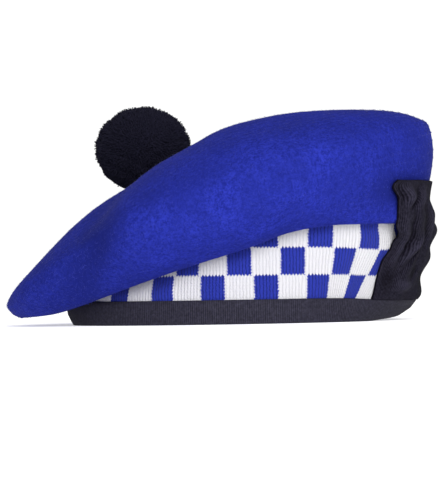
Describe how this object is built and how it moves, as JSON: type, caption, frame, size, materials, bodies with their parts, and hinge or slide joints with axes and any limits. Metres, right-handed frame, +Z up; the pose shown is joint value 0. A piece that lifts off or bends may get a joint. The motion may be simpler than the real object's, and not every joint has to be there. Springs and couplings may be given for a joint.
{
  "type": "balmoral bonnet",
  "caption": "Soft felt bonnet drooping to one side over a diced knitted headband, with a bound lower edge, a gathered ribbon cockade and a yarn toorie on top.",
  "frame": {"origin": "middle of the bonnet's footprint, at the height of the surface it rests on", "axes": "+Z up; -Y the way the wearer faces; +X to the wearer's left, the cockade side, so the crown droops towards -X"},
  "size_m": [0.2268, 0.2624, 0.115],
  "materials": {
    "felt": "matte",
    "knit": "matte",
    "grosgrain": "satin",
    "yarn": "matte"
  },
  "bodies": {
    "root": {"crown": "felt", "diced_band": "knit", "edge_binding": "grosgrain", "cockade": "grosgrain", "toorie": "yarn"}
  },
  "joints": []
}
